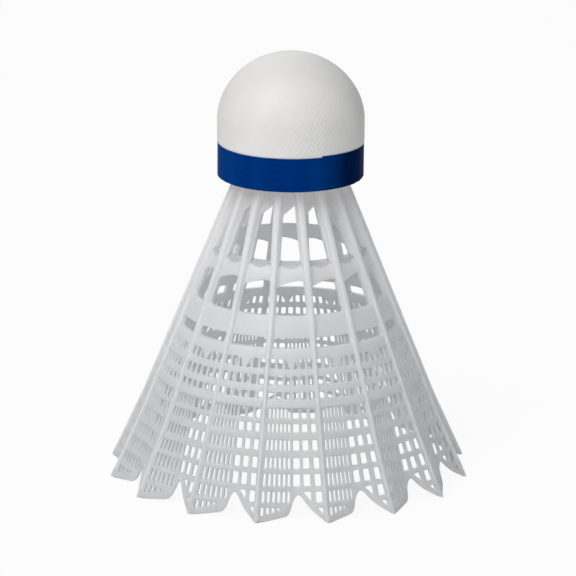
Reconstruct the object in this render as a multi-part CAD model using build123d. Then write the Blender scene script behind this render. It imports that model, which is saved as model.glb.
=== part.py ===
from build123d import *
from math import atan2, cos, degrees, radians, sin, sqrt
import os

# A nylon badminton shuttlecock standing on the rim of its skirt, cork head up.
# Millimetres. The origin is the centre of the rim plane, +Z runs up the axis to the head.

# ---- skirt: layout round the axis ----
RIB_COUNT = 16
PITCH = 360 / RIB_COUNT          # angle from one rib to the next
RIB_PHASE = -90 + 11.8           # azimuth of the first rib, just right of the front (-Y)
VALLEY = 11.7                    # angle from a rib to the bottom of the pleat beside it

# ---- skirt: heights ----
RIM_Z = 0.0
PLEAT_TOP_Z = 19.3               # the pleated zone ends under belt 4
BELT_4_TOP_Z = 20.6
FLARE_Z = 13.4                   # the ribs lean out more below this height
CROWN_Z = 54.0
SEAT_Z = 56.9                    # the cork sits here, on the crown's flange
FLANGE_T = 1.0
SPIGOT_TOP_Z = 66.0

# ---- skirt: radii ----
RIB_RIM_R = 33.9
RIB_FLARE_R = 27.76
RIB_NECK_R = 13.58
RIB_NECK_Z = 48.3
RIB_CROWN_R = 11.2
RIB_SEAT_R = 10.6
FLANGE_R = 10.2
SPIGOT_R = 7.0
SPIGOT_RING_R = 7.4
SPIGOT_RING_H = 0.8
SPIGOT_RING_ZS = (59.0, 61.5, 64.0)
SPIGOT_BORE_R = 5.6
SPIGOT_WALL_R = 6.3              # inside the spigot's wall, where the flange ends in it
RIDGE_RIM_R = 33.5               # outside of the web at a rib, at the rim
RIDGE_TOP_R = 24.8
VALLEY_RIM_R = 31.0              # outside of the web at the bottom of a pleat, at the rim
VALLEY_TOP_R = 24.6
WEB_T = 0.6
PLEAT_T = 0.5
BELT_4_STEP = 0.3
# outside of the web above the pleats, from belt 4 up to the crown: radius, height
WEB_OUTLINE = ((17.3, 34.9), (13.7, 43.3), (9.1, CROWN_Z), (8.8, SEAT_Z - FLANGE_T))

# ---- skirt: ribs and openings ----
# half width of a rib at a radius: broad at the crown, thin at the rim
RIB_TAPER = ((0.0, 0.7), (14.0, 0.7), (17.5, 0.6), (24.8, 0.48), (RIB_RIM_R, 0.35), (40.0, 0.35))
RIB_ROOT = 0.3                   # how far a rib's root is sunk into the web
WINDOW_1 = (43.3, 53.0)
WINDOW_1_TOP_SLOPE = 37          # its top edge climbs to the right, in degrees
WINDOW_1_SIDE = 1.0              # from the middle of a rib to the window's side
WINDOW_1_NEAR = 7.0              # the cutter starts here, inside the web's wall
WINDOW_2 = (34.9, 40.6)
WINDOW_2_SIDE = 0.75
WINDOW_2_CORNER = 1.0
WINDOW_3 = (29.4, 30.8)
WINDOW_3_SIDE = 0.68
WINDOW_NEAR = 12.0               # where the cutters of the second and third windows start
MESH_ROWS = ((25.8, 27.5), (23.1, 24.7), (20.9, 22.0))
MESH_COLUMNS = 6
MESH_EDGE = 1.9                  # angle from a rib to the first and last hole
MESH_OPEN = 0.62                 # open part of a mesh column
GUSSET_FOOT = 0.4                # half angle of the V gusset of the top row, at its foot
PLEAT_ROWS = ((17.6, 19.0), (15.0, 16.5), (12.0, 13.8), (9.0, 10.9), (6.1, 8.2), (3.4, 5.3), (1.0, 2.6))
NARROW_COLUMNS = 6
NARROW_FIRST = 1.45              # angle from a rib to the middle of the first narrow column
NARROW_PITCH = 1.79
NARROW_HOLE = 0.95
WIDE_ANGLES = (13.9, 17.35, 20.6)
WIDE_HOLE = 2.1
EDGE_BAND = 0.8                  # solid band left along the edge of a scallop
SMALLEST_CUT = 2.0               # cutters of less volume than this would leave slivers

# ---- skirt: the notch between two scallops, across the panel from its middle, and height ----
NOTCH_FOOT = (-0.75, -2.0)
NOTCH_CORNER = (-0.35, 1.0)
NOTCH_SHOULDER = (0.25, 3.1)
NOTCH_TOP = (1.55, 4.5)
NOTCH_SLOPE = (2.75, 3.4)
NOTCH_TIP = (5.95, -0.05)
NOTCH_END = (7.4, -2.0)

# ---- head ----
HEAD_R = 13.45                   # outside of the cover
HEAD_TOP_Z = 79.6
SHOULDER_R = 11.4
DOME_R = 13.7
COVER_T = 0.35
CORK_SPLIT_Z = 66.9
CORK_BORE_R = 7.55
TAPE_T = 0.25
TAPE_TOP_Z = 62.7
TAPE_BOTTOM_Z = 56.7
LAP_START = -90 + 25             # azimuth where the tape's outer end lies
LAP_ANGLE = 38                   # how far the tape's ends overlap

FAR = 60.0                       # past the widest part of the skirt, for cutters


def polar(radius, angle, z=0.0):
    """A point at a radius, an azimuth in degrees and a height."""
    return (radius * cos(radians(angle)), radius * sin(radians(angle)), z)


def radial_face(points):
    """A face in the XZ plane from (radius, height) points."""
    return make_face(Polyline(*[(r, 0, z) for r, z in points], close=True))


def block(a0, a1, z0, z1, near=16.0, far=42.0):
    """A wedge between two azimuths and two heights, used as a cutter."""
    corners = [polar(near, a0, z0), polar(far, a0, z0), polar(far, a1, z0), polar(near, a1, z0)]
    return extrude(make_face(Polyline(*corners, close=True)), z1 - z0, dir=(0, 0, 1))


def wall(stations, split=False):
    """A closed solid through equal outlines that stand at successive azimuths.

    Flat faces join each outline to the next; split cuts them into triangles where they would twist.
    """
    faces = [make_face(Polyline(*outline, close=True)) for outline in (stations[0], stations[-1])]
    for here, there in zip(stations, stations[1:]):
        for i in range(len(here)):
            j = (i + 1) % len(here)
            quad = [here[i], here[j], there[j], there[i]]
            loops = [quad[:3], [quad[0], quad[2], quad[3]]] if split and here[i][2] != here[j][2] else [quad]
            faces += [make_face(Polyline(*loop, close=True)) for loop in loops]
    return Solid(Shell(faces))


def web_sector():
    """One pitch of the web above the pleats, with the crown's flange, in two flat-sided halves."""
    slope = (WEB_OUTLINE[0][0] - RIDGE_TOP_R) / (WEB_OUTLINE[0][1] - PLEAT_TOP_Z)
    belt_r = RIDGE_TOP_R + slope * (BELT_4_TOP_Z - PLEAT_TOP_Z)
    outline = [(RIDGE_TOP_R + BELT_4_STEP, PLEAT_TOP_Z)]
    outline += [(belt_r + BELT_4_STEP, BELT_4_TOP_Z), (belt_r, BELT_4_TOP_Z), *WEB_OUTLINE]
    outline += [(FLANGE_R, SEAT_Z - FLANGE_T), (FLANGE_R, SEAT_Z), (SPIGOT_WALL_R, SEAT_Z)]
    outline += [(SPIGOT_WALL_R, CROWN_Z), (WEB_OUTLINE[2][0] - WEB_T, CROWN_Z)]
    outline += [(r - WEB_T, z) for r, z in reversed(WEB_OUTLINE[:2])]
    outline += [(RIDGE_TOP_R - WEB_T, PLEAT_TOP_Z)]
    return wall([[polar(r, angle, z) for r, z in outline] for angle in (0, VALLEY, PITCH)])


def pleat_sector():
    """The two facets of one pleat: down from a rib to the valley and back up to the next rib."""
    stations = []
    for angle, rim_r, top_r in (
        (0, RIDGE_RIM_R, RIDGE_TOP_R),
        (VALLEY, VALLEY_RIM_R, VALLEY_TOP_R),
        (PITCH, RIDGE_RIM_R, RIDGE_TOP_R),
    ):
        section = [(rim_r, RIM_Z), (top_r, PLEAT_TOP_Z)]
        section += [(top_r - PLEAT_T, PLEAT_TOP_Z), (rim_r - PLEAT_T, RIM_Z)]
        stations.append([polar(r, angle, z) for r, z in section])
    return wall(stations, split=True)


def half_rib():
    """The half of a rib that stands on the first side of a sector."""
    edge = [(RIB_RIM_R, RIM_Z), (RIB_FLARE_R, FLARE_Z), (RIB_NECK_R, RIB_NECK_Z)]
    edge += [(RIB_CROWN_R, CROWN_Z), (RIB_SEAT_R, SEAT_Z)]
    root = [(SPIGOT_R, SEAT_Z), (SPIGOT_R, SEAT_Z - FLANGE_T)]
    root += [(r - RIB_ROOT, z) for r, z in reversed(WEB_OUTLINE[:3])]
    root += [(RIDGE_TOP_R - RIB_ROOT, PLEAT_TOP_Z), (RIDGE_RIM_R - RIB_ROOT, RIM_Z)]
    slab = extrude(radial_face(edge + root), 2 * RIB_TAPER[0][1], dir=(0, 1, 0))
    taper = Polyline((RIB_TAPER[-1][0], 0), (0, 0), *RIB_TAPER, close=True)
    return slab & extrude(make_face(taper), SEAT_Z)


def window(z0, z1, side, near, corner=0.0):
    """A window between two ribs: its sides run along the ribs' flanks."""
    far = RIB_RIM_R
    left = [(near, side), (far, side)]
    right = [polar(sqrt(x * x + y * y), PITCH - degrees(atan2(y, x)))[:2] for x, y in reversed(left)]
    plan = make_face(Polyline(*[(x, y, z0) for x, y in left + right], close=True))
    solid = extrude(plan, z1 - z0, dir=(0, 0, 1))
    if corner:
        sill = solid.faces().sort_by(Axis.Z)[0]
        solid = fillet(sill.edges().sort_by(SortBy.LENGTH)[-2:], corner)
    return solid


def sloped_window():
    """The first window, whose top edge climbs to its right corner."""
    low, high = WINDOW_1
    radius = WEB_OUTLINE[2][0]
    peak_y = radius * sin(radians(PITCH / 2)) - WINDOW_1_SIDE
    lid = Box(FAR, FAR, HEAD_R, align=(Align.CENTER, Align.CENTER, Align.MIN))
    middle = Plane(origin=(0, 0, high), x_dir=polar(1, PITCH / 2), z_dir=(0, 0, 1))
    lid = middle * Pos(0, peak_y, 0) * Rot(WINDOW_1_TOP_SLOPE, 0, 0) * lid
    return window(low, high + 1, WINDOW_1_SIDE, WINDOW_1_NEAR) - lid


def mesh_cutters():
    """Three rows of small openings; the middle of the top row keeps a V-shaped gusset."""
    step = (PITCH - 2 * MESH_EDGE) / MESH_COLUMNS
    open_angle = step * MESH_OPEN
    cutters = []
    for row, (z0, z1) in enumerate(MESH_ROWS):
        for column in range(MESH_COLUMNS):
            middle = MESH_EDGE + step * (column + 0.5)
            hole = block(middle - open_angle / 2, middle + open_angle / 2, z0, z1)
            if row == 0 and column in (2, 3):
                hole -= gusset(z0, z1, step)
            cutters.append(hole)
    return cutters


def gusset(z0, z1, half_width):
    """The V left solid in the middle of the top mesh row, wide above and narrow below."""
    middle = PITCH / 2
    wide = half_width * (1 + MESH_OPEN) / 2
    low = [polar(r, middle + a * GUSSET_FOOT, z0) for r, a in ((0, 0), (FAR, -1), (FAR, 1))]
    high = [polar(r, middle + a * wide, z1) for r, a in ((0, 0), (FAR, -1), (FAR, 1))]
    return loft([make_face(Polyline(*low, close=True)), make_face(Polyline(*high, close=True))], ruled=True)


def notch(grow=0.0):
    """The cut between two scallops: steep on its left, rounded on top, sloping down to the next rib."""
    across = Plane(origin=(0, 0, 0), x_dir=polar(1, 90 + PITCH / 2), z_dir=polar(1, PITCH / 2))
    left = [(y - grow, z) for y, z in (NOTCH_FOOT, NOTCH_CORNER, NOTCH_SHOULDER)]
    top = (NOTCH_TOP[0], NOTCH_TOP[1] + grow)
    right = [(y + grow, z) for y, z in (NOTCH_SLOPE, NOTCH_TIP, NOTCH_END)]
    edges = [Polyline(*left), ThreePointArc(left[-1], top, right[0]), Polyline(*right, left[0])]
    return extrude(across * make_face(edges), FAR)


def pleat_cutters():
    """The openings of the pleats: narrow columns down one facet, wide ones down the other."""
    keep_clear = notch(EDGE_BAND)
    cutters = []
    for z0, z1 in PLEAT_ROWS:
        spans = [(NARROW_FIRST + NARROW_PITCH * i, NARROW_HOLE) for i in range(NARROW_COLUMNS)]
        spans += [(middle, WIDE_HOLE) for middle in WIDE_ANGLES]
        for middle, width in spans:
            hole = block(middle - width / 2, middle + width / 2, z0, z1)
            if z0 < NOTCH_TOP[1] + EDGE_BAND:
                hole = hole - keep_clear
            cutters += [piece for piece in hole.solids() if piece.volume > SMALLEST_CUT]
    return cutters


def skirt():
    """The moulded skirt: sixteen equal sectors joined down the middle of the ribs, one solid."""
    openings = [sloped_window()]
    openings.append(window(*WINDOW_2, WINDOW_2_SIDE, WINDOW_NEAR, WINDOW_2_CORNER))
    openings.append(window(*WINDOW_3, WINDOW_3_SIDE, WINDOW_NEAR))
    web = web_sector().cut(*openings, *mesh_cutters())
    pleats = pleat_sector().cut(*pleat_cutters())
    pleats = pleats.cut(notch())
    rib = half_rib()
    far_rib = mirror(rib, Plane(origin=(0, 0, 0), z_dir=polar(1, 90 + PITCH / 2)))
    sector = web.fuse(pleats, rib, far_rib)
    sectors = [sector.rotate(Axis.Z, RIB_PHASE + PITCH * i) for i in range(RIB_COUNT)]
    return sectors[0].fuse(*sectors[1:], spigot(CROWN_Z))


def head_outline(depth, z_low):
    """Half section of the head, a given depth under its skin, from z_low to the top."""
    shoulder_x = HEAD_R - SHOULDER_R
    dome_z = HEAD_TOP_Z - DOME_R
    shoulder_z = dome_z + sqrt((DOME_R - SHOULDER_R) ** 2 - shoulder_x**2)
    join = atan2(shoulder_z - dome_z, shoulder_x)
    shoulder_r = SHOULDER_R - depth
    dome_r = DOME_R - depth
    side = (HEAD_R - depth, 0, shoulder_z)
    meet = (dome_r * cos(join), 0, dome_z + dome_r * sin(join))
    half = join / 2
    mid_1 = (shoulder_x + shoulder_r * cos(half), 0, shoulder_z + shoulder_r * sin(half))
    rise = (join + radians(90)) / 2
    mid_2 = (dome_r * cos(rise), 0, dome_z + dome_r * sin(rise))
    top = (0, 0, HEAD_TOP_Z - depth)
    edges = [
        Line((0, 0, z_low), (HEAD_R - depth, 0, z_low)),
        Line((HEAD_R - depth, 0, z_low), side),
        ThreePointArc(side, mid_1, meet),
        ThreePointArc(meet, mid_2, top),
        Line(top, (0, 0, z_low)),
    ]
    return make_face(edges)


def head_blank(depth, z_low):
    """The head turned from its half section."""
    return revolve(head_outline(depth, z_low), Axis.Z, 360)


def ring(outer_r, inner_r, z0, z1):
    """A plain ring, or a disc where the inner radius is zero."""
    solid = Cylinder(outer_r, z1 - z0)
    if inner_r:
        solid -= Cylinder(inner_r, z1 - z0)
    return Pos(0, 0, (z0 + z1) / 2) * solid


def tape():
    """The tape round the head, one turn and a lap: the outer end lies over the inner one."""
    turn = ring(HEAD_R + TAPE_T, HEAD_R, TAPE_BOTTOM_Z, TAPE_TOP_Z)
    lap = ring(HEAD_R + 2 * TAPE_T, HEAD_R, TAPE_BOTTOM_Z, TAPE_TOP_Z)
    return turn + (lap & block(LAP_START, LAP_START + LAP_ANGLE, TAPE_BOTTOM_Z, TAPE_TOP_Z, 0.0))


def spigot(foot_z):
    """The hollow spigot with its grip rings, from foot_z to its open top."""
    outline = [(SPIGOT_BORE_R, foot_z), (SPIGOT_R, foot_z)]
    for z in SPIGOT_RING_ZS:
        outline += [(SPIGOT_R, z), (SPIGOT_RING_R, z), (SPIGOT_R, z + SPIGOT_RING_H)]
    outline += [(SPIGOT_R, SPIGOT_TOP_Z), (SPIGOT_BORE_R, SPIGOT_TOP_Z)]
    return revolve(radial_face(outline), Axis.Z, 360)


def main():
    cork = head_blank(COVER_T, SEAT_Z)
    above = Box(FAR, FAR, FAR, align=(Align.CENTER, Align.CENTER, Align.MIN))
    nose_space = Pos(0, 0, CORK_SPLIT_Z) * above
    bore_space = ring(CORK_BORE_R, 0.0, SEAT_Z, CORK_SPLIT_Z)
    glue = ring(CORK_BORE_R, SPIGOT_BORE_R, SEAT_Z, SPIGOT_TOP_Z) - spigot(SEAT_Z)
    parts = {
        "skirt": skirt(),
        "cork_base": cork - nose_space - bore_space,
        "cork_nose": cork & nose_space,
        "head_cover": head_blank(0.0, SEAT_Z) - cork,
        "tape_band": tape(),
        "spigot_glue": glue,
    }
    os.makedirs("parts", exist_ok=True)
    for name, shape in parts.items():
        export_step(shape, f"parts/{name}.step", write_pcurves=False)


main()
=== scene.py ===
from math import atan2, cos, hypot, pi, radians, sin, sqrt

import bmesh
import bpy
import numpy as np
from mathutils import Matrix, Vector
from mathutils.geometry import delaunay_2d_cdt


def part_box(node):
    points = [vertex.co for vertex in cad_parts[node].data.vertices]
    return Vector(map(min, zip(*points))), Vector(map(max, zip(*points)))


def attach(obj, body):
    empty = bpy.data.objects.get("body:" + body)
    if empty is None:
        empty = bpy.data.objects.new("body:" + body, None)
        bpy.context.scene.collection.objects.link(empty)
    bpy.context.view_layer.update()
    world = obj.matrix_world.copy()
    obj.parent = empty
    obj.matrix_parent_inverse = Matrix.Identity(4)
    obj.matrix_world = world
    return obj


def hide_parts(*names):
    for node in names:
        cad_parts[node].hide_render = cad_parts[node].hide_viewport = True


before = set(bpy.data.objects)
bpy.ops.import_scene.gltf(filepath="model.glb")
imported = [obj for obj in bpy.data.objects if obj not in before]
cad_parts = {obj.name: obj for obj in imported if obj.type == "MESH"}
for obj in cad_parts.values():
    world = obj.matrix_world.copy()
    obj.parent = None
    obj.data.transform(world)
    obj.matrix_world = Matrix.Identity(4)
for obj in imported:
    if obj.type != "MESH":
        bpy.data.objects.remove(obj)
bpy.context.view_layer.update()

# The looks of a nylon badminton shuttlecock that stands on its rim, head up.
# Lengths in this script are millimetres, angles are radians unless a name says degrees,
# and meshes are scaled to metres when they are made.
MM = 0.001

# ---- taken from the frame ----
TAPE_LOW, TAPE_HIGH = (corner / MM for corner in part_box("tape_band"))
COVER_LOW, COVER_HIGH = (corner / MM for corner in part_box("head_cover"))
SPIGOT_TOP_Z = (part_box("skirt")[1] / MM).z
HEAD_R = COVER_HIGH.x
HEAD_TOP_Z = COVER_HIGH.z
SEAT_Z = COVER_LOW.z               # the cork sits here, on the crown's flange


# ---- skirt ----
RIBS = 16
PITCH = 2 * pi / RIBS


def first_rib():
    """Radius and azimuth of the rib tip just right of the front, from the skirt's outermost vertices."""
    points = [v.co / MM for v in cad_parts["skirt"].data.vertices]
    reach = max(hypot(p.x, p.y) for p in points)
    at_reach = 0.001
    half_pitch = PITCH / 2 + 0.02
    tips = [atan2(p.y, p.x) for p in points if hypot(p.x, p.y) > reach - at_reach]
    return reach, max(tip for tip in tips if abs(tip + pi / 2) < half_pitch)


RIM_R, RIB_PHASE = first_rib()
VALLEY = radians(11.7)             # from a rib to the bottom of the pleat beside it
PLEAT_TOP_Z = 19.3
BELT_Z = 20.45                     # top of the belt over the pleats
BELT_STEP = 0.1
STEP_HALF = 0.05                   # half the height of the belt's lower step
CROWN_Z = 54.0
FLANGE_TOP_R = 10.1
BORE_R = 5.6
SPIGOT_R = 7.0
RING_R = 7.4
RING_H = 0.8
RING_ZS = (59.0, 61.5, 64.0)
# outsides of the ribs, and of the web at a rib and at the bottom of a pleat: height, radius
RIB_LINE = ((0.0, RIM_R), (13.4, 27.76), (48.3, 13.58), (CROWN_Z, 11.25), (SEAT_Z, 10.55))
RIDGE_LINE = ((0.0, RIM_R - 0.15), (13.4, 27.5), (PLEAT_TOP_Z, 24.95), (27.0, 21.7), (34.9, 18.25),
              (43.3, 14.45), (CROWN_Z, 9.5), (SEAT_Z, 9.1))
VALLEY_LINE = ((0.0, 31.0), (PLEAT_TOP_Z, 24.75))
# how far the flange under the cork stands out, and the web's thickness: height, length
FLANGE_FLARE = ((0.0, 0.0), (55.0, 0.0), (55.7, 0.35), (56.2, 1.05), (SEAT_Z, 1.35))
THICKNESS = ((0.0, 0.5), (18.0, 0.55), (20.6, 0.75), (27.0, 0.95), (35.0, 1.0), (42.0, 1.1), (SEAT_Z, 1.1))
# height, how far the skirt is turned about its axis, in degrees
TWIST = ((36.0, 0.0), (43.3, -0.7), (52.0, -2.0), (SEAT_Z, -2.3))
# height, half width of a rib's crest and of its foot; the foot stays clear of every opening
RIB_CREST = ((0.0, 0.18), (18.0, 0.22), (28.0, 0.24), (29.0, 0.34), (35.0, 0.42), (50.0, 0.5), (SEAT_Z, 0.6))
RIB_FOOT = ((0.0, 0.34), (28.0, 0.36), (29.0, 0.48), (34.0, 0.52), (41.0, 0.52), (43.0, 0.7),
            (50.0, 0.73), (CROWN_Z, 0.73), (55.2, 1.0), (SEAT_Z, 1.2))
# share of the rib's height along its flank: 0 is its middle, 1 the end of the crest, 2 the foot
FLANK = ((0.0, 1.0), (0.6, 0.985), (1.0, 0.93), (1.3, 0.74), (1.65, 0.3), (2.0, 0.0))
FLANK_STEPS = tuple(row[0] for row in FLANK[1:])
# where a rib's edges start above the rim, left of a panel and right of it, clear of the scallop
FLANK_START_LEFT = 0.5
FLANK_START_RIGHT = 2.2

# outlines of the windows between two ribs: share of the panel's width, height
WINDOW_1 = ((0.0, 43.3), (1.0, 43.3), (1.0, 53.1), (0.0, 51.3))
WINDOW_2 = ((0.0, 34.6), (1.0, 34.6), (1.0, 40.35), (0.75, 40.5), (0.4, 40.15), (0.0, 39.4))
WINDOW_3 = ((0.0, 29.15), (1.0, 29.15), (1.0, 30.9), (0.0, 30.9))
# outline, distance from the middle of a rib, radii of the corners, how far the sill tilts inwards
WINDOWS = (
    (WINDOW_1, 0.9, (0.3, 0.3, 0.25, 0.25), 0.3),
    (WINDOW_2, 0.68, (0.6, 0.6, 0.4, 0.8, 0.8, 0.35), 0.0),
    (WINDOW_3, 0.66, (0.3, 0.3, 0.3, 0.3), 0.0),
)
# how an opening is cut: points in a corner, longest edge, size of the eased edge, segments in it
WINDOW_CUT = (4, 0.8, 0.13, 2)
MESH_CUT = (2, 1.3, 0.08, 1)
WIDE_CUT = (2, 1.4, 0.08, 1)
NARROW_CUT = (2, 1.4, 0.06, 1)
RIM_EDGE = 0.16                    # size of the eased edge along the scallops
RIM_EDGE_STEPS = 2
WIDE_CORNER = 0.16                 # corner radius of mesh openings and wide slits
NARROW_CORNER = 0.1
SMALLEST_SLIT = 0.25               # square millimetres; smaller openings are left closed
MESH_ROWS = ((25.65, 27.35), (22.95, 24.6), (20.65, 21.85))
MESH_COLUMNS = 6
MESH_MARGIN = 0.48                 # from the middle of a rib to the first opening
MESH_OPEN = 0.64                   # open share of a mesh column
CUT_CORNER = {2: 2, 3: 3}          # column of the top row, and the corner that the V gusset fills
PLEAT_ROWS = ((17.3, 19.0), (15.0, 16.5), (12.0, 13.8), (9.0, 10.9), (6.1, 8.2), (3.4, 5.3),
              (1.0, 2.6))
# height, distance from the middle of a rib to the first slit
PLEAT_MARGIN = ((0.0, 0.42), (7.0, 0.45), (18.5, 0.62))
NARROW_COLUMNS = 6
NARROW_START = 0.028               # shares of the width between two ribs' margins
NARROW_STEP = 0.082
NARROW_OPEN = 0.038
WIDE_SLITS = ((0.535, 0.655), (0.71, 0.825), (0.895, 0.995))
SILL_Z = WINDOW_1[0][1]
SCOOP_DEPTH = 0.45                 # hollow in the outside just under each upper window
SCOOP_H = 0.85
SCOOP_LIP = 0.3                    # height above the sill over which the hollow runs out
SCOOP_SHARES = (0.5, 0.92, 1.0)    # edges in the mesh along the hollow, by share of its reach
SCOOP_POINTS = 61
SCOOP_CLEAR = 0.21                 # those edges stay this far under the window
EDGE_BAND = 0.75                   # solid band along the edge of a scallop
# lower edge of a scallop from one rib to the next: share of the pitch, height
SCALLOP = (
    (0.0, 0.12), (0.03, 0.02), (0.06, 0.0), (0.2, 0.2), (0.36, 0.45), (0.425, 0.62), (0.465, 1.0),
    (0.495, 1.7), (0.517, 2.6), (0.546, 3.5), (0.58, 4.05), (0.62, 4.25), (0.675, 3.8), (0.72, 3.05),
    (0.81, 1.85), (0.87, 1.25), (0.925, 0.75), (0.97, 0.3), (1.0, 0.12),
)
NOTCH_LEFT = (SCALLOP[6], SCALLOP[9])
NOTCH_TOP_Z = SCALLOP[11][1]
NOTCH_RIGHT = (SCALLOP[12], SCALLOP[16])
HEM = ((0.0, 0.9), (0.42, 1.9))    # line above which the lowest slits begin
SAG = 0.04                         # how much lower a row lies in the valley, by its drop from the belt

# rows of points across the sheets, where their shape changes: heights, distance kept from the foot
# of a rib, points in a row
ROW_TOP_GAP = 0.3                  # they end this far under the sheet's top
LEVEL_STEP = 1.4
LEVEL_CLEAR = 0.5
BELT_LEVELS = (PLEAT_TOP_Z - STEP_HALF, PLEAT_TOP_Z + STEP_HALF, BELT_Z)
ROW_SETS = (
    (BELT_LEVELS, 0.2, 15),
    ((28.3, 32.0, 33.2, 41.5), 0.35, 9),
    ((53.9, 54.6, 55.2, 55.7, 56.2), 0.15, 4),
)
OUTER_TOP_Z = SEAT_Z - 0.15        # the outside ends here, and the flange's edge begins
SKIRT_WELD = 0.002


def table(z, rows):
    """The value at a height, or at another place, from (place, value) rows."""
    return float(np.interp(z, [row[0] for row in rows], [row[1] for row in rows]))


def width(z):
    """Length of one pitch along the web at a height."""
    return PITCH * table(z, RIDGE_LINE)


def base_radius(a, z):
    """Radius of the bare sheet, pleated under the belt and round above it."""
    ridge = table(z, RIDGE_LINE)
    if z >= PLEAT_TOP_Z:
        return ridge
    valley = table(z, VALLEY_LINE)
    span = VALLEY if a <= VALLEY else PITCH - VALLEY
    s = a if a <= VALLEY else PITCH - a
    return ridge * valley * sin(span) / (ridge * sin(s) + valley * sin(span - s))


def belt_step(z):
    """How far the belt over the pleats stands out."""
    return table(z, ((PLEAT_TOP_Z - STEP_HALF, 0.0), (PLEAT_TOP_Z + STEP_HALF, BELT_STEP), (BELT_Z, 0.0)))


def scoop_bow(a):
    """How far down the hollow under an upper window reaches at an angle: 0 at the ribs, 1 between them."""
    foot = table(SILL_Z, RIB_FOOT) / width(SILL_Z)
    w = min(max((min(a, PITCH - a) / PITCH - foot) / (0.5 - foot), 0.0), 1.0)
    return w * (2 - w)


def scoop(a, z):
    """Depth of the hollow under an upper window."""
    if not SILL_Z - SCOOP_H < z < SILL_Z + SCOOP_LIP:
        return 0.0
    bow = scoop_bow(a)
    depth = min(max(1 - (SILL_Z - z) / (SCOOP_H * bow + 0.01), 0.0), 1.0)
    return SCOOP_DEPTH * depth * min(1.0, 3 * bow) * min(1.0, 1 - (z - SILL_Z) / SCOOP_LIP)


def flank_x(s, z):
    """Distance from the middle of a rib at a place on its flank."""
    crest = table(z, RIB_CREST)
    foot = table(z, RIB_FOOT)
    return crest * s if s <= 1 else crest + (foot - crest) * (s - 1)


def outer_radius(a, z):
    """Radius of the outside, with the ribs, the belt's step, the flange and the hollows."""
    x = min(a, PITCH - a) / PITCH * width(z)
    r = base_radius(a, z) + belt_step(z) + table(z, FLANGE_FLARE) - scoop(a, z)
    crest = table(z, RIB_CREST)
    foot = table(z, RIB_FOOT)
    s = x / crest if x < crest else 1 + (x - crest) / (foot - crest)
    rise = max(table(z, RIB_LINE) - r, 0.0)
    return r + rise * table(s, FLANK)


def inner_radius(a, z):
    """Radius of the inside."""
    return base_radius(a, z) - table(z, THICKNESS)


def arc_corner(before, corner, after, radius, steps):
    """Points that round a corner of an outline."""
    to_before = before - corner
    to_after = after - corner
    d1 = min(radius, 0.45 * to_before.length)
    d2 = min(radius, 0.45 * to_after.length)
    p0 = corner + to_before.normalized() * d1
    p2 = corner + to_after.normalized() * d2
    points = []
    for i in range(steps):
        t = i / (steps - 1)
        points.append((1 - t) ** 2 * p0 + 2 * t * (1 - t) * corner + t * t * p2)
    return points


def rounded(outline, radius, steps, longest):
    """A closed outline with rounded corners and no edge longer than a given length.

    The radius is one number for all corners, or one for each.
    """
    corners = [Vector(p) for p in outline]
    points = []
    for i, corner in enumerate(corners):
        r = radius[i] if isinstance(radius, tuple) else radius
        points += arc_corner(corners[i - 1], corner, corners[(i + 1) % len(corners)], r, steps)
    dense = []
    for here, there in zip(points, points[1:] + points[:1]):
        parts = max(1, int(np.ceil((there - here).length / longest)))
        dense += [here.lerp(there, k / parts) for k in range(parts)]
    return dense


def grown(points, amount):
    """A closed anticlockwise outline moved outwards."""
    moved = []
    for i, p in enumerate(points):
        d1 = (p - points[i - 1]).normalized()
        d2 = (points[(i + 1) % len(points)] - p).normalized()
        n1 = Vector((d1.y, -d1.x))
        n2 = Vector((d2.y, -d2.x))
        n = (n1 + n2).normalized()
        moved.append(p + n * amount / max(n.dot(n1), 0.5))
    return moved


def area(outline):
    """Signed area of a closed outline."""
    return 0.5 * sum(a.x * b.y - a.y * b.x for a, b in zip(outline, outline[1:] + outline[:1]))


def clip(outline, p, q, gap):
    """The part of an outline on the left of the line from p to q, at least gap away from it."""
    along = (q - p).normalized()
    normal = Vector((-along.y, along.x))
    reach = [(v - p).dot(normal) - gap for v in outline]
    kept = []
    for i, v in enumerate(outline):
        j = (i + 1) % len(outline)
        if reach[i] >= 0:
            kept.append(v)
        if (reach[i] >= 0) != (reach[j] >= 0):
            kept.append(v.lerp(outline[j], reach[i] / (reach[i] - reach[j])))
    return kept


class Sector:
    """One pitch of the skirt as a list of points (angle, radius, height) and faces."""

    def __init__(self):
        self.points = []
        self.faces = []

    def add(self, x, z, radius):
        """Adds a point given by its distance along the web; radius is a function of angle and height."""
        a = min(max(x / width(z) * PITCH, 0.0), PITCH)
        self.points.append((a, radius(a, z), z))
        return len(self.points) - 1

    def strip(self, low, high, closed):
        """Quads between two chains of points."""
        count = len(low)
        for i in range(count if closed else count - 1):
            j = (i + 1) % count
            self.faces.append((low[i], low[j], high[j], high[i]))


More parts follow.
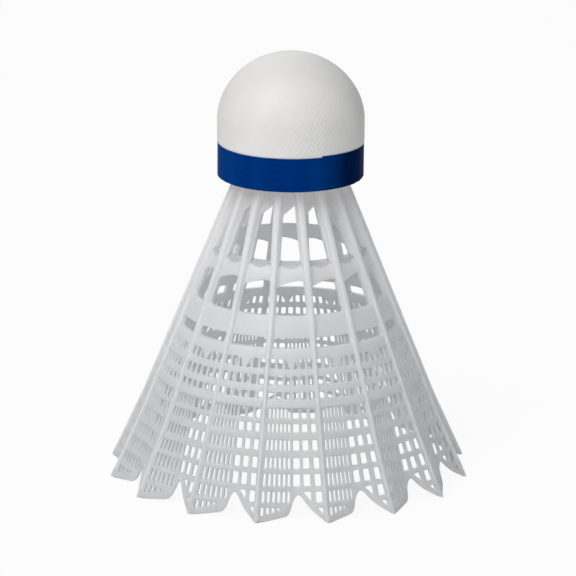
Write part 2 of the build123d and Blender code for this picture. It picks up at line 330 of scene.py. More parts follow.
def edge_loops(sector, outline, edge, segments, tilt, closed=True):
    """The wall of an opening, or of the rim if not closed, with an eased edge on both sides.

    Returns the flat outlines that the outer and the inner sheet are cut along, and their points.
    """
    z_low = min(p.y for p in outline)
    z_high = max(p.y for p in outline)
    profile = [(1 - sin(k * pi / 2 / segments), 1 - cos(k * pi / 2 / segments)) for k in range(segments + 1)]
    chains = []
    flats = []
    for inside in (False, True):
        for back, sink in (reversed(profile) if inside else profile):
            flat = grown(outline, edge * back) if closed else raised(outline, edge * back)
            if inside and tilt:
                for p in flat:
                    p.y += tilt * max(0.0, 1 - (p.y - z_low) / (z_high - z_low) * 2)
            if inside:
                chain = [sector.add(p.x, p.y, lambda a, z: inner_radius(a, z) + edge * sink) for p in flat]
            else:
                chain = [sector.add(p.x, p.y, lambda a, z: outer_radius(a, z) - edge * sink) for p in flat]
            chains.append(chain)
            flats.append(flat)
    for low, high in zip(chains, chains[1:]):
        sector.strip(low, high, closed)
    return (flats[0], chains[0]), (flats[-1], chains[-1])


def raised(outline, amount):
    """The scallop's edge moved into the sheet; its ends stay on the ribs' middles."""
    moved = []
    last = len(outline) - 1
    for i, p in enumerate(outline):
        if i in (0, last):
            moved.append(Vector((0.0 if i == 0 else width(p.y + amount), p.y + amount)))
            continue
        d = (outline[i + 1] - outline[i - 1]).normalized()
        moved.append(p + Vector((-d.y, d.x)) * amount)
    return moved


def smooth_value(a, b, c, d, f):
    """A value a share of the way from b to c on a smooth curve through all four."""
    return 0.5 * (2 * b + (c - a) * f + (2 * a - 5 * b + 4 * c - d) * f * f + (3 * b - a - 3 * c + d) * f**3)


def scallop():
    """The lower edge of a sector as a smooth chain, with extra points across the ribs' flanks."""
    last = len(SCALLOP) - 1
    curve = []
    for t in np.linspace(0, last, 3 * last + 1):
        i = min(int(t), last - 1)
        around_it = (SCALLOP[max(i - 1, 0)], SCALLOP[i], SCALLOP[i + 1], SCALLOP[min(i + 2, last)])
        u, z = (smooth_value(a, b, c, d, t - i) for a, b, c, d in zip(*around_it))
        curve.append((u, max(z, 0.0)))
    feet = [s * table(0, RIB_CREST) / width(0) for s in (0.6, 1.0)]
    feet += [s * table(0, RIB_FOOT) / width(0) for s in (0.8, 1.0)]
    near = max(feet) * 1.15
    left = [(u, table(u, SCALLOP)) for u in (0.0, *feet)]
    right = [(1 - u, table(1 - u, SCALLOP)) for u in (*reversed(feet), 0.0)]
    middle = [(u, z) for u, z in curve if near < u < 1 - near]
    return [Vector((u * width(z), z)) for u, z in left + middle + right]


def panel(fraction, z, side):
    """A point at a share of the width between two ribs' margins."""
    return (side + fraction * (width(z) - 2 * side), z)


def box_outline(f0, f1, z0, z1, side):
    """A four-sided opening between two shares of the panel and two heights."""
    return [panel(f, z, side(z)) for f, z in ((f0, z0), (f1, z0), (f1, z1), (f0, z1))]


def sagged(outline):
    """An outline in the pleats, lowered towards the valley as on a folded sheet."""
    moved = []
    for p in outline:
        u = p[0] / width(p[1])
        valley = VALLEY / PITCH
        share = u / valley if u < valley else (1 - u) / (1 - valley)
        z = p[1] - SAG * (PLEAT_TOP_Z - p[1]) * share
        moved.append(Vector((u * width(z), z)))
    return moved


def openings():
    """Every opening of a sector: outline, size of its eased edge, segments in it, tilt of its sill."""
    made = []

    def cut(outline, corner, kind, tilt=0.0):
        steps, longest, edge, segments = kind
        made.append((rounded(outline, corner, steps, longest), edge, segments, tilt))

    for shape, side, corner, tilt in WINDOWS:
        cut([panel(f, z, side) for f, z in shape], corner, WINDOW_CUT, tilt)
    for row, (z0, z1) in enumerate(MESH_ROWS):
        for column in range(MESH_COLUMNS):
            f0 = column / (MESH_COLUMNS - 1 + MESH_OPEN)
            f1 = (column + MESH_OPEN) / (MESH_COLUMNS - 1 + MESH_OPEN)
            outline = box_outline(f0, f1, z0, z1, lambda z: MESH_MARGIN)
            if row == 0 and column in CUT_CORNER:
                outline.pop(CUT_CORNER[column])
            cut(outline, WIDE_CORNER, MESH_CUT)
    starts = [NARROW_START + NARROW_STEP * k for k in range(NARROW_COLUMNS)]
    columns = [(start, start + NARROW_OPEN) for start in starts] + list(WIDE_SLITS)
    notch_left, notch_right, hem = (
        [Vector((u * width(z), z)) for u, z in shape] for shape in (NOTCH_LEFT, NOTCH_RIGHT, HEM)
    )
    for z0, z1 in PLEAT_ROWS:
        for k, (f0, f1) in enumerate(columns):
            narrow = k < NARROW_COLUMNS
            outline = sagged(box_outline(f0, f1, z0, z1, lambda z: table(z, PLEAT_MARGIN)))
            if z0 < NOTCH_TOP_Z + EDGE_BAND:
                outline = clip(outline, *(notch_left if narrow else notch_right), EDGE_BAND)
            if z0 == PLEAT_ROWS[-1][0] and narrow:
                outline = clip(outline, *hem, 0.0)
            if len(outline) < 3 or area(outline) < SMALLEST_SLIT:
                continue
            if narrow:
                cut(outline, NARROW_CORNER, NARROW_CUT)
            else:
                cut(outline, WIDE_CORNER, WIDE_CUT)
    return made


def heights(low, high, step):
    """Evenly spaced heights that include both ends."""
    return list(np.linspace(low, high, max(2, int(round((high - low) / step)) + 1)))


def cross_rows(rows, gap, count, z_high, line):
    """Adds rows of points across a panel, from beside one rib to beside the next."""
    for z in rows:
        if z < z_high - ROW_TOP_GAP:
            clear = table(z, RIB_FOOT) + gap
            line([Vector((x, z)) for x in np.linspace(clear, width(z) - clear, count)])


def scoop_edge(share):
    """A curve along the hollow under an upper window, at a share of its reach."""
    curve = []
    for a in np.linspace(0, PITCH, SCOOP_POINTS):
        z = SILL_Z - share * SCOOP_H * scoop_bow(a)
        if z < SILL_Z - SCOOP_CLEAR:
            curve.append(Vector((a / PITCH * width(z), z)))
    return curve


def sheet(sector, bottom, holes, top, radius, flip, ribbed):
    """One side of the wall: a triangulated sheet between its lower edge, its top and the openings."""
    flat = []
    index = []
    edges = []
    rings = []

    def chain(points, ids):
        start = len(flat)
        flat.extend(points)
        index.extend(ids)
        return list(range(start, start + len(points)))

    bottom_ids = chain(*bottom)
    top_ids = chain(*top)
    z_low = bottom[0][0].y
    z_high = top[0][0].y
    levels = [
        z for z in heights(z_low, z_high, LEVEL_STEP)[1:-1]
        if abs(z - PLEAT_TOP_Z) > LEVEL_CLEAR and abs(z - BELT_Z) > LEVEL_CLEAR
    ]
    levels = sorted(levels + list(BELT_LEVELS))
    left = chain([Vector((0.0, z)) for z in levels], [sector.add(0.0, z, radius) for z in levels])
    right = chain([Vector((width(z), z)) for z in levels], [sector.add(width(z), z, radius) for z in levels])
    outer = bottom_ids + right + list(reversed(top_ids)) + list(reversed(left))
    for points, ids in holes:
        rings.append(chain(points, ids))

    def line(points):
        ids = chain(points, [sector.add(p.x, p.y, radius) for p in points])
        edges.extend(zip(ids, ids[1:]))

    if ribbed:
        for s in FLANK_STEPS:
            left_of = [Vector((flank_x(s, z), z)) for z in levels if z >= FLANK_START_LEFT]
            right_of = [Vector((width(z) - flank_x(s, z), z)) for z in levels if z >= FLANK_START_RIGHT]
            line(left_of)
            line(right_of)
    belt_rows, *other_rows = ROW_SETS
    cross_rows(*belt_rows, z_high, line)
    for share in SCOOP_SHARES:
        line(scoop_edge(share))
    for rows in other_rows:
        cross_rows(*rows, z_high, line)
    done = delaunay_2d_cdt(flat, edges, [outer, *rings], 1, 1e-7)
    verts, _, faces, origin, _, face_origin = done
    ids = []
    for k, source in enumerate(origin):
        if source:
            ids.append(index[source[0]])
        else:
            ids.append(sector.add(verts[k].x, verts[k].y, radius))
    for face, source in zip(faces, face_origin):
        if any(s > 0 for s in source):
            continue
        p, q, r = (verts[k] for k in face)
        turned = (q - p).cross(r - p) < 0
        corners = [ids[k] for k in face]
        if turned != flip:
            corners.reverse()
        sector.faces.append(tuple(corners))


def top_chain(sector, z, radius):
    """The upper edge of a sheet, with points across the ribs' flanks and one between the ribs."""
    side = [0.0] + [flank_x(s, SEAT_Z) / width(SEAT_Z) for s in FLANK_STEPS]
    shares = side + [0.5] + [1 - s for s in reversed(side)]
    points = [Vector((s * width(z), z)) for s in shares]
    return points, [sector.add(p.x, p.y, radius) for p in points]


def spigot_lines():
    """The turned profile from the flange over the spigot to the crown's underside: radius, height."""
    lines = [(FLANGE_TOP_R, SEAT_Z), (SPIGOT_R + 0.2, SEAT_Z), (SPIGOT_R, SEAT_Z + 0.2)]
    for z in RING_ZS:
        lines += [(SPIGOT_R, z - 0.05), (RING_R, z), (RING_R - 0.05, z + 0.15), (SPIGOT_R, z + RING_H)]
    lines += [(SPIGOT_R, SPIGOT_TOP_Z - 0.2), (SPIGOT_R - 0.15, SPIGOT_TOP_Z), (BORE_R + 0.1, SPIGOT_TOP_Z)]
    lines += [(BORE_R, SPIGOT_TOP_Z - 0.1), (BORE_R, CROWN_Z + 0.2), (BORE_R + 0.2, CROWN_Z)]
    return lines


def skirt_sector():
    """One sixteenth of the skirt."""
    sector = Sector()
    low_outer, low_inner = edge_loops(sector, scallop(), RIM_EDGE, RIM_EDGE_STEPS, 0.0, closed=False)
    outer_holes = []
    inner_holes = []
    for outline, edge, segments, tilt in openings():
        outside, inside = edge_loops(sector, outline, edge, segments, tilt)
        outer_holes.append(outside)
        inner_holes.append(inside)
    outer_top = top_chain(sector, OUTER_TOP_Z, outer_radius)
    inner_top = top_chain(sector, CROWN_Z, inner_radius)
    sheet(sector, low_outer, outer_holes, outer_top, outer_radius, True, True)
    sheet(sector, low_inner, inner_holes, inner_top, inner_radius, False, False)
    angles = [sector.points[k][0] for k in outer_top[1]]
    last = outer_top[1]
    for r, z in spigot_lines():
        ring = []
        for a in angles:
            sector.points.append((a, r, z))
            ring.append(len(sector.points) - 1)
        sector.strip(last, ring, False)
        last = ring
    sector.strip(last, inner_top[1], False)
    return sector


def mesh_object(name, points, faces):
    """A smooth-shaded mesh object from points in millimetres."""
    mesh = bpy.data.meshes.new(name)
    mesh.from_pydata([(x * MM, y * MM, z * MM) for x, y, z in points], [], faces)
    mesh.update()
    piece = bpy.data.objects.new(name, mesh)
    bpy.context.scene.collection.objects.link(piece)
    mesh.polygons.foreach_set("use_smooth", [True] * len(mesh.polygons))
    return piece


def weld(piece, distance):
    """Joins points that lie together and turns all faces outwards."""
    work = bmesh.new()
    work.from_mesh(piece.data)
    bmesh.ops.remove_doubles(work, verts=work.verts, dist=distance * MM)
    bmesh.ops.dissolve_degenerate(work, edges=work.edges, dist=1e-8)
    bmesh.ops.recalc_face_normals(work, faces=work.faces)
    work.to_mesh(piece.data)
    work.free()


def even_normals(piece):
    """Shades by the larger faces, so that narrow bevels look rounded."""
    modifier = piece.modifiers.new("even_normals", "WEIGHTED_NORMAL")
    modifier.mode = "FACE_AREA"
    modifier.keep_sharp = False


def build_skirt():
    """The whole skirt: sixteen sectors joined down the middles of the ribs."""
    sector = skirt_sector()
    a, r, z = np.array(sector.points).T
    twist = np.radians(np.interp(z, [row[0] for row in TWIST], [row[1] for row in TWIST]))
    points = []
    faces = []
    for k in range(RIBS):
        turned = a + RIB_PHASE + PITCH * k + twist
        start = len(points)
        points += list(zip(r * np.cos(turned), r * np.sin(turned), z))
        faces += [tuple(start + i for i in face) for face in sector.faces]
    piece = mesh_object("skirt_moulding", points, faces)
    # painted shade: points of the outside in the hollows under the upper windows carry the hollow's depth,
    # which greys the nylon's colour there
    hollow = [
        scoop(a, z) / SCOOP_DEPTH if r > base_radius(a, z) - table(z, THICKNESS) / 2 else 0.0
        for a, r, z in sector.points
    ]
    hollow_shade_paint = piece.data.attributes.new("hollow_shade_paint", "FLOAT", "POINT")
    hollow_shade_paint.data.foreach_set("value", hollow * RIBS)
    weld(piece, SKIRT_WELD)
    even_normals(piece)
    return piece


# ---- head ----
SHOULDER_R = 11.4
DOME_R = 13.7
COVER_T = 0.35
SEAT_R = HEAD_R - 0.15             # the tape presses the cover in
BULGE = 0.08                       # how far the cover swells above the tape
SWELL_DROP = 0.1                   # the swelling begins this far under the tape's edge
SWELL_H = 0.6
CROWN_DROP = 0.15                  # how much the crown is flattened
CUT_EDGE = 0.1                     # height and twice the depth of the softened cut edge
ARC_STEPS = 26
TURN_STEPS = 192
COVER_WELD = 0.001


def head_profile(depth, count):
    """The head's outline a given depth under its skin, from the side's top to the crown.

    Returns (radius, height) points and the height where the side ends.
    """
    shoulder_x = HEAD_R - SHOULDER_R
    dome_z = HEAD_TOP_Z - DOME_R
    shoulder_z = dome_z + sqrt((DOME_R - SHOULDER_R) ** 2 - shoulder_x**2)
    join = atan2(shoulder_z - dome_z, shoulder_x)
    points = []
    for k in range(count):
        t = join * k / count
        r = SHOULDER_R - depth
        points.append((shoulder_x + r * cos(t), shoulder_z + r * sin(t)))
    for k in range(count + 1):
        t = join + (pi / 2 - join) * k / count
        r = DOME_R - depth
        points.append((r * cos(t), dome_z + r * sin(t)))
    return points, shoulder_z


def lathe(name, profile, segments):
    """A closed turned piece; the profile goes round the section and meets its own start."""
    points = []
    rows = []
    for r, z in profile:
        if r < 1e-6:
            points.append((0.0, 0.0, z))
            rows.append([len(points) - 1])
            continue
        row = []
        for k in range(segments):
            t = 2 * pi * k / segments
            points.append((r * cos(t), r * sin(t), z))
            row.append(len(points) - 1)
        rows.append(row)
    faces = []
    for here, there in zip(rows, rows[1:] + rows[:1]):
        for k in range(segments):
            j = (k + 1) % segments
            if len(here) == 1 and len(there) == 1:
                continue
            if len(here) == 1:
                faces.append((here[0], there[j], there[k]))
            elif len(there) == 1:
                faces.append((here[k], here[j], there[0]))
            else:
                faces.append((here[k], here[j], there[j], there[k]))
    piece = mesh_object(name, points, faces)
    weld(piece, COVER_WELD)
    return piece


def cover_outside():
    """The cover's outside from its cut edge to the crown: pressed in under the tape, full above it."""
    arc, shoulder_z = head_profile(0.0, ARC_STEPS)
    tape_z = TAPE_HIGH.z
    points = [(SEAT_R, z) for z in (SEAT_Z + CUT_EDGE, 59.0, 61.0, tape_z - 2 * SWELL_DROP)]
    for z in np.linspace(tape_z - SWELL_DROP, tape_z + SWELL_H - SWELL_DROP, 9):
        up = min((z - tape_z + SWELL_DROP) / SWELL_H, 1.0)
        points.append((SEAT_R + (HEAD_R + BULGE - SEAT_R) * up * (2 - up), z))
    for z in np.linspace(tape_z + 1.0, shoulder_z - 0.5, 4):
        points.append((HEAD_R + BULGE, z))
    for r, z in arc:
        down = (HEAD_TOP_Z - z) / (HEAD_TOP_Z - shoulder_z)
        swollen = r + BULGE * sqrt(max(down, 0.0))
        points.append((0.0 if r < 0.01 else swollen, z - CROWN_DROP * (1 - down) ** 2))
    return points, shoulder_z


def build_cover():
    """The thin cover over the cork, open below, with a soft cut edge."""
    outer, shoulder_z = cover_outside()
    inner, _ = head_profile(COVER_T, ARC_STEPS)
    inner_r = HEAD_R - COVER_T
    back = [(inner_r, z) for z in np.linspace(SEAT_Z + CUT_EDGE, shoulder_z, 9)[:-1]]
    edge_in = (inner_r + CUT_EDGE / 2, SEAT_Z)
    edge_out = (SEAT_R - CUT_EDGE / 2, SEAT_Z)
    profile = [edge_out, *outer, *reversed(inner), *reversed(back), edge_in]
    return lathe("cover_skin", profile, TURN_STEPS)


# ---- tape ----
TAPE_T = 0.16
TAPE_DROP = 0.2                    # how far it reaches below the CAD tape's lower edge
LAP_START = radians(-65)           # azimuth of the outer end
LAP_ANGLE = radians(38)
LAP_GAP = 0.02                     # between the two layers of tape
FILM_GAP = 0.01                    # between the tape and the cover
LAP_RISE = 0.28                    # how much higher the outer end lies
TAPE_EASE = 0.07                   # radius of its eased edges
TAPE_STATIONS = 220
TAPE_END_GAP = radians(1.5)        # the inner end stops this far short of the whole lap
LAP_OVER = radians(2)              # the outer end stays raised this far past the lap
LAP_DOWN = radians(14)             # and lies on the cover this far past it
RISE_FADE = radians(150)
TAPE_WELD = 0.0005
TAPE_WAVES = ((0.02, 3, 1.0), (0.012, 7, 0.0))     # size, waves in a turn, phase


def build_tape():
    """One turn of tape and a lap, as one strip whose outer end lies over its inner one."""
    turn = 2 * pi + LAP_ANGLE - TAPE_END_GAP
    low = TAPE_LOW.z - TAPE_DROP
    high = TAPE_HIGH.z
    section = []
    for x, z, begin in (
        (TAPE_T - TAPE_EASE, low + TAPE_EASE, -90),
        (TAPE_T - TAPE_EASE, high - TAPE_EASE, 0),
        (TAPE_EASE, high - TAPE_EASE, 90),
        (TAPE_EASE, low + TAPE_EASE, 180),
    ):
        for k in range(4):
            t = radians(begin + 30 * k)
            section.append((x + TAPE_EASE * cos(t), z + TAPE_EASE * sin(t)))
    rows = []
    points = []
    for s in range(TAPE_STATIONS + 1):
        t = turn * s / TAPE_STATIONS
        a = LAP_START + t
        off = table(t, ((0.0, 1.0), (LAP_ANGLE + LAP_OVER, 1.0), (LAP_ANGLE + LAP_DOWN, 0.0)))
        off = off * off * (3 - 2 * off)
        rise = LAP_RISE * (1 - min(t / RISE_FADE, 1)) ** 2
        wave = sum(size * sin(count * t + phase) for size, count, phase in TAPE_WAVES)
        row = []
        for x, z in section:
            r = SEAT_R + FILM_GAP + x + off * (TAPE_T + LAP_GAP)
            points.append((r * cos(a), r * sin(a), z + rise + wave))
            row.append(len(points) - 1)
        rows.append(row)
    faces = []
    count = len(section)
    for here, there in zip(rows, rows[1:]):
        for k in range(count):
            j = (k + 1) % count
            faces.append((here[k], here[j], there[j], there[k]))
    faces.append(tuple(rows[0]))
    faces.append(tuple(reversed(rows[-1])))
    piece = mesh_object("tape_strip", points, faces)
    weld(piece, TAPE_WELD)
    even_normals(piece)
    return piece


# ---- materials ----
# colours at the low and the high end of each material's noise
NYLON = ((0.85, 0.865, 0.89), (0.89, 0.902, 0.92))
LEATHER = ((0.80, 0.79, 0.775), (0.85, 0.842, 0.83))
TAPE = ((0.0, 0.031, 0.185), (0.0, 0.037, 0.215))
GLUE = ((0.78, 0.70, 0.50), (0.86, 0.80, 0.62))
PAPER = ((0.88, 0.88, 0.88), (0.9, 0.9, 0.9))
# colours of a cork's gaps and of its grains
COMPOSITE_CORK = ((0.30, 0.17, 0.08), (0.62, 0.43, 0.25))
NATURAL_CORK = ((0.40, 0.25, 0.12), (0.70, 0.50, 0.31))
# painted shade in the hollows under the upper windows: share of a hollow's depth, colour left
HOLLOW_PAINTED_SHADE = ((0.0, (1.0, 1.0, 1.0)), (0.08, (0.66, 0.65, 0.65)), (1.0, (0.6, 0.59, 0.59)))
# painted sheen and painted shade: soft lighter and darker bands across the tape
TAPE_PAINTED_SHEEN = ((0.35, (0.8, 0.8, 0.88)), (0.65, (1.2, 1.25, 1.1)))
# the tape is darker over this angle to the right of its outer end: partly its double layer at the lap,
# mostly painted shade on its right side
DARKER_SPAN = radians(75)
# share of that angle, colour left
LAP_AND_PAINTED_SHADE = (
    (0.0, (1.0, 1.0, 1.0)), (0.013, (0.85, 0.85, 0.85)), (0.19, (0.55, 0.55, 0.55)),
    (0.31, (0.36, 0.36, 0.36)), (0.6, (0.3, 0.3, 0.3)), (0.85, (0.3, 0.3, 0.3)), (1.0, (1.0, 1.0, 1.0)),
)
GRAIN_SLANT = radians(35)
GRAIN_STRETCH = 2.6                # along the rows
GRAIN_DRIFT = 0.0006               # metres that the rows wander
GRAIN_DEPTH = 0.00012              # metres
GRAIN_FADE = (11.0, 4.0)           # under the head's top, where the grain starts to fade and where it ends
GRAIN_TOP = 0.08                   # share of the grain that is left over the crown
GRAIN_LEFT = 0.3                   # share of the grain that is left on the left side of the head
GRAIN_TURN = 0.3                   # it changes this share of the radius to each side of the front
FLOOR_GLOW = 0.92                  # share of the floor's look to the camera that doesn't depend on light


def node_material(name):
    """A node material, its tree and its surface shader."""
    material = bpy.data.materials.new(name)
    material.use_nodes = True
    return material, material.node_tree, material.node_tree.nodes["Principled BSDF"]


def add_node(tree, kind, **values):
    """A node with its inputs or its settings set by name; an underscore stands for a space in an input."""
    node = tree.nodes.new(kind)
    for key, value in values.items():
        title = key.replace("_", " ")
        if title in node.inputs:
            node.inputs[title].default_value = value
        else:
            setattr(node, key, value)
    return node


def feed(tree, socket, source):
    """Sets an input to a number, or links an output to it."""
    if isinstance(source, (int, float)):
        socket.default_value = source
    else:
        tree.links.new(source, socket)


def position(tree, scale=(1, 1, 1)):
    """Object coordinates, stretched."""
    where = tree.nodes.new("ShaderNodeTexCoord")
    mapping = add_node(tree, "ShaderNodeMapping", Scale=scale)
    tree.links.new(where.outputs["Object"], mapping.inputs["Vector"])
    return mapping.outputs["Vector"]


def noise(tree, vector, scale, detail=2.0, roughness=0.5, output="Fac"):
    """A noise texture's value, or its colour."""
    node = add_node(tree, "ShaderNodeTexNoise", Scale=scale, Detail=detail, Roughness=roughness)
    tree.links.new(vector, node.inputs["Vector"])
    return node.outputs[output]


def ramp(tree, value, stops):
    """Colours along a value."""
    node = tree.nodes.new("ShaderNodeValToRGB")
    elements = node.color_ramp.elements
    while len(elements) < len(stops):
        elements.new(0.5)
    for element, (place, colour) in zip(elements, stops):
        element.position = place
        element.color = (*colour, 1.0)
    tree.links.new(value, node.inputs["Fac"])
    return node.outputs["Color"]


def mottled(tree, value, colours):
    """A noise value turned into a mix of two close colours."""
    return ramp(tree, value, ((0.3, colours[0]), (0.7, colours[1])))


def spread(tree, value, at_start, at_end, start=0.0, end=1.0):
    """A value moved from the range start..end into the range at_start..at_end."""
    node = add_node(
        tree, "ShaderNodeMapRange", From_Min=start, From_Max=end, To_Min=at_start, To_Max=at_end,
    )
    tree.links.new(value, node.inputs["Value"])
    return node.outputs["Result"]


def calc(tree, operation, first, second):
    """The result of a calculation with two values."""
    node = add_node(tree, "ShaderNodeMath", operation=operation)
    feed(tree, node.inputs[0], first)
    feed(tree, node.inputs[1], second)
    return node.outputs["Value"]


def multiplied(tree, first, second):
    """Two colours multiplied."""
    node = add_node(tree, "ShaderNodeMix", data_type="RGBA", blend_type="MULTIPLY")
    node.inputs["Factor"].default_value = 1.0
    sockets = [socket for socket in node.inputs if socket.type == "RGBA"]
    tree.links.new(first, sockets[0])
    tree.links.new(second, sockets[1])
    return next(socket for socket in node.outputs if socket.type == "RGBA")


def bump(tree, shader, height, distance, strength):
    """Gives the shader a bumped normal; the distance is in metres."""
    node = add_node(tree, "ShaderNodeBump", Distance=distance, Strength=strength)
    tree.links.new(height, node.inputs["Height"])
    tree.links.new(node.outputs["Normal"], shader.inputs["Normal"])


def subsurface(shader, weight, scale, radius=(1.0, 0.2, 0.1)):
    """Light that spreads under the surface; the scale is in metres."""
    shader.inputs["Subsurface Weight"].default_value = weight
    shader.inputs["Subsurface Scale"].default_value = scale
    shader.inputs["Subsurface Radius"].default_value = radius


def nylon():
    """Milky white moulded nylon, satin, with painted shade in the hollows under the upper windows, and light
    spreading in it.
    """
    material, tree, shader = node_material("nylon")
    here = position(tree)
    # painted shade: the colour is greyed in the hollows under the upper windows
    hollow_shade_paint = add_node(tree, "ShaderNodeAttribute", attribute_name="hollow_shade_paint")
    hollow_shade = ramp(tree, hollow_shade_paint.outputs["Fac"], HOLLOW_PAINTED_SHADE)
    colour = multiplied(tree, mottled(tree, noise(tree, here, scale=90, detail=3.0), NYLON), hollow_shade)
    tree.links.new(colour, shader.inputs["Base Color"])
    tree.links.new(spread(tree, noise(tree, here, scale=260), 0.34, 0.46), shader.inputs["Roughness"])
    subsurface(shader, weight=0.75, scale=0.006, radius=(1.0, 1.0, 1.0))
    shader.inputs["IOR"].default_value = 1.53
    fine = noise(tree, here, scale=1400, detail=3.0, roughness=0.6)
    bump(tree, shader, fine, distance=0.00003, strength=0.5)
    return material


def around(tree, radius):
    """Coordinates that wrap the head (length round it from the front, nothing, height), x and the height.

    The radius is in millimetres and the coordinates are in metres.
    """
    where = tree.nodes.new("ShaderNodeTexCoord")
    split = tree.nodes.new("ShaderNodeSeparateXYZ")
    tree.links.new(where.outputs["Object"], split.inputs["Vector"])
    turn = calc(tree, "ARCTAN2", split.outputs["X"], calc(tree, "MULTIPLY", split.outputs["Y"], -1.0))
    joined = tree.nodes.new("ShaderNodeCombineXYZ")
    tree.links.new(calc(tree, "MULTIPLY", turn, radius * MM), joined.inputs["X"])
    tree.links.new(split.outputs["Z"], joined.inputs["Z"])
    return joined.outputs["Vector"], split.outputs["X"], split.outputs["Z"]


def slanting_rows(tree, wrapped):
    """The height of a fine grain: slanting rows that wander and break up."""
    weak = add_node(tree, "ShaderNodeVectorMath", operation="SCALE", Scale=GRAIN_DRIFT)
    tree.links.new(noise(tree, wrapped, scale=350, output="Color"), weak.inputs[0])
    wandering = add_node(tree, "ShaderNodeVectorMath", operation="ADD")
    tree.links.new(wrapped, wandering.inputs[0])
    tree.links.new(weak.outputs["Vector"], wandering.inputs[1])
    turned = add_node(
        tree, "ShaderNodeMapping", vector_type="TEXTURE",
        Rotation=(0.0, GRAIN_SLANT, 0.0), Scale=(1.0, 1.0, GRAIN_STRETCH),
    )
    tree.links.new(wandering.outputs["Vector"], turned.inputs["Vector"])
    rows = add_node(
        tree, "ShaderNodeTexWave", bands_direction="X",
        Scale=570.0, Distortion=5.5, Detail=3.0, Detail_Scale=1.2,
    )
    tree.links.new(turned.outputs["Vector"], rows.inputs["Vector"])
    breaks = noise(tree, turned.outputs["Vector"], scale=1500)
    return calc(tree, "MULTIPLY", rows.outputs["Fac"], breaks)


def cover_leather():
    """White coated leather with a fine grain that fades out over the crown and is weak on the left."""
    material, tree, shader = node_material("cover")
    here = position(tree)
    wrapped, across, height = around(tree, HEAD_R)
    colour = mottled(tree, noise(tree, here, scale=120, detail=3.0), LEATHER)
    tree.links.new(colour, shader.inputs["Base Color"])
    tree.links.new(spread(tree, noise(tree, here, scale=700), 0.45, 0.62), shader.inputs["Roughness"])
    subsurface(shader, weight=0.12, scale=0.0006, radius=(1.0, 0.8, 0.7))
    fade_low, fade_high = ((HEAD_TOP_Z - drop) * MM for drop in GRAIN_FADE)
    side = GRAIN_TURN * HEAD_R * MM
    fade = spread(tree, height, at_start=1.0, at_end=GRAIN_TOP, start=fade_low, end=fade_high)
    worn = spread(tree, across, at_start=GRAIN_LEFT, at_end=1.0, start=-side, end=side)
    weight = calc(tree, "MULTIPLY", fade, worn)
    grain = calc(tree, "MULTIPLY", slanting_rows(tree, wrapped), weight)
    bump(tree, shader, grain, GRAIN_DEPTH, strength=0.8)
    return material


def tape_plastic():
    """Deep blue tape with faint lines along it, painted sheen and shade in soft bands across it, and a
    darker part right of its outer end: partly its double layer, mostly painted shade.
    """
    material, tree, shader = node_material("tape")
    lines = noise(tree, position(tree, scale=(1, 1, 12)), scale=160, detail=4.0, roughness=0.6)
    wrapped, _, _ = around(tree, 1 / MM)
    turn = tree.nodes.new("ShaderNodeSeparateXYZ")
    tree.links.new(wrapped, turn.inputs["Vector"])
    # painted sheen and painted shade: soft lighter and darker bands across the tape
    sheen_bands = ramp(tree, noise(tree, wrapped, scale=2.6, detail=1.0), TAPE_PAINTED_SHEEN)
    # painted shade: right of the outer end the colour darkens, partly for the double layer at the lap,
    # mostly for the shade on the tape's right side
    seam = LAP_START + pi / 2
    past_seam = spread(tree, turn.outputs["X"], 0.0, 1.0, start=seam, end=seam + DARKER_SPAN)
    lap_and_shade = ramp(tree, past_seam, LAP_AND_PAINTED_SHADE)
    colour = multiplied(tree, multiplied(tree, mottled(tree, lines, TAPE), sheen_bands), lap_and_shade)
    tree.links.new(colour, shader.inputs["Base Color"])
    tree.links.new(spread(tree, lines, 0.3, 0.42), shader.inputs["Roughness"])
    shader.inputs["Specular IOR Level"].default_value = 0.004
    shader.inputs["Specular Tint"].default_value = (0.0, 0.3, 0.7, 1.0)
    wrinkles = noise(tree, position(tree, scale=(1, 1, 3)), scale=300)
    bump(tree, shader, wrinkles, distance=0.00008, strength=0.35)
    return material


def cork(name, colours, grain_scale):
    """Cork: grains with darker gaps between them, and fine pores."""
    material, tree, shader = node_material(name)
    dark, light = colours
    here = position(tree)
    grains = add_node(tree, "ShaderNodeTexVoronoi", Scale=grain_scale, Randomness=1.0)
    tree.links.new(here, grains.inputs["Vector"])
    colour = ramp(tree, grains.outputs["Distance"], ((0.1, light), (0.65, dark)))
    tree.links.new(colour, shader.inputs["Base Color"])
    shader.inputs["Roughness"].default_value = 0.85
    pores = noise(tree, here, scale=grain_scale * 3, detail=4.0, roughness=0.65)
    bump(tree, shader, pores, distance=0.0002, strength=0.6)
    return material


def adhesive():
    """Set adhesive: pale amber, a little glossy, with small ripples."""
    material, tree, shader = node_material("glue")
    here = position(tree)
    colour = mottled(tree, noise(tree, here, scale=300, detail=3.0), GLUE)
    tree.links.new(colour, shader.inputs["Base Color"])
    shader.inputs["Roughness"].default_value = 0.28
    subsurface(shader, weight=0.3, scale=0.0006)
    bump(tree, shader, noise(tree, here, scale=500), distance=0.0001, strength=0.6)
    return material


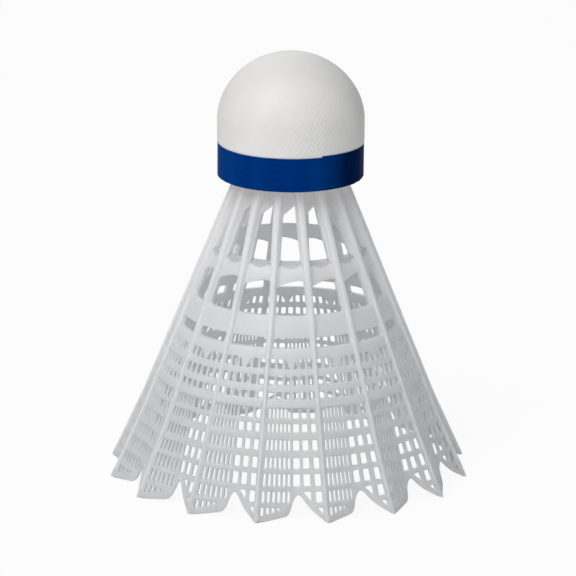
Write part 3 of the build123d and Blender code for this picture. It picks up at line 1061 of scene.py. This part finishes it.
def paper():
    """The pale floor: it looks nearly white to the camera, and bounces light as paper does."""
    material, tree, shader = node_material("floor")
    colour = mottled(tree, noise(tree, position(tree), scale=6), PAPER)
    tree.links.new(colour, shader.inputs["Base Color"])
    shader.inputs["Roughness"].default_value = 0.9
    shader.inputs["Specular IOR Level"].default_value = 0.1
    glow = add_node(tree, "ShaderNodeEmission", Strength=1.0)
    path = tree.nodes.new("ShaderNodeLightPath")
    mixed = tree.nodes.new("ShaderNodeMixShader")
    share = calc(tree, "MULTIPLY", path.outputs["Is Camera Ray"], FLOOR_GLOW)
    tree.links.new(share, mixed.inputs["Fac"])
    tree.links.new(shader.outputs["BSDF"], mixed.inputs[1])
    tree.links.new(glow.outputs["Emission"], mixed.inputs[2])
    tree.links.new(mixed.outputs["Shader"], tree.nodes["Material Output"].inputs["Surface"])
    return material


# ---- scene, in metres ----
AIM = (0, 0, 0.04)                 # the lights point at the middle of the object
# name, place, size, power in watts, tint
LIGHTS = (
    ("key", (-0.27, -0.42, 0.66), 0.6, 4.05, (1.0, 0.985, 0.97)),
    ("fill", (0.05, -0.9, 0.2), 0.5, 0.55, (1.0, 1.0, 1.0)),
    ("back", (-0.1, 0.75, 0.5), 0.6, 1.5, (1.0, 0.99, 0.97)),
)
ROOM_TINT = (0.95, 0.97, 1.0, 1.0)
ROOM_STRENGTH = 0.3
CAMERA_PLACE = (0.0, -0.733, 0.24466)
CAMERA_DOWN = 0.279
CAMERA_YAW = -0.0004
CAMERA_ROLL = 0.008
CAMERA_LENS = 256.9                # millimetres, on a sensor 36 mm wide
CAMERA_SENSOR = 36.0
CAMERA_CLIP_END = 20.0
FLOOR_SIZE = 8.0
FLOOR_PLACE = (0, 2.0, -0.00005)


def place(piece, material, node, slot):
    """Gives a piece its material, its body and the CAD node it stands for."""
    piece.data.materials.append(material)
    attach(piece, "root")
    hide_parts(node)


def finish_node(node, material):
    """Gives a CAD node that is shown as it is its material."""
    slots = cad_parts[node].data.materials
    slots.clear()
    slots.append(material)


def build_floor():
    """A wide pale floor under the rim."""
    bpy.ops.mesh.primitive_plane_add(size=FLOOR_SIZE, location=FLOOR_PLACE)
    floor = bpy.context.object
    floor.name = "floor"
    floor.data.materials.append(paper())


def area_light(name, place_at, size, power, tint):
    """A soft square light aimed at the middle of the object."""
    data = bpy.data.lights.new(name, "AREA")
    data.shape = "SQUARE"
    data.size = size
    data.energy = power
    data.color = tint
    lamp = bpy.data.objects.new(name, data)
    lamp.location = place_at
    towards = Vector(AIM) - Vector(place_at)
    lamp.rotation_euler = towards.to_track_quat("-Z", "Y").to_euler()
    bpy.context.scene.collection.objects.link(lamp)


def build_lights():
    """A soft key from the upper left, a weak fill by the camera, a light behind and an even room."""
    for light in LIGHTS:
        area_light(*light)
    world = bpy.data.worlds.new("room")
    world.use_nodes = True
    shade = world.node_tree.nodes["Background"]
    shade.inputs["Color"].default_value = ROOM_TINT
    shade.inputs["Strength"].default_value = ROOM_STRENGTH
    bpy.context.scene.world = world
    bpy.context.scene.view_settings.view_transform = "Standard"


def build_camera():
    """The photograph's viewpoint: in front and above, a long lens."""
    yaw, down, roll = CAMERA_YAW, CAMERA_DOWN, CAMERA_ROLL
    ahead = Vector((sin(yaw) * cos(down), cos(yaw) * cos(down), -sin(down)))
    level = Vector((cos(yaw), -sin(yaw), 0.0))
    upright = level.cross(ahead)
    right = cos(roll) * level + sin(roll) * upright
    up = -sin(roll) * level + cos(roll) * upright
    data = bpy.data.cameras.new("camera")
    data.sensor_width = CAMERA_SENSOR
    data.lens = CAMERA_LENS
    data.clip_end = CAMERA_CLIP_END
    camera = bpy.data.objects.new("camera", data)
    camera.matrix_world = Matrix((right, up, -ahead)).transposed().to_4x4()
    camera.location = CAMERA_PLACE
    bpy.context.scene.collection.objects.link(camera)
    bpy.context.scene.camera = camera


place(build_skirt(), nylon(), "skirt", "nylon")
place(build_cover(), cover_leather(), "head_cover", "cover")
place(build_tape(), tape_plastic(), "tape_band", "tape")
finish_node("cork_base", cork("composite_cork", COMPOSITE_CORK, 900.0))
finish_node("cork_nose", cork("natural_cork", NATURAL_CORK, 420.0))
finish_node("spigot_glue", adhesive())
build_floor()
build_lights()
build_camera()
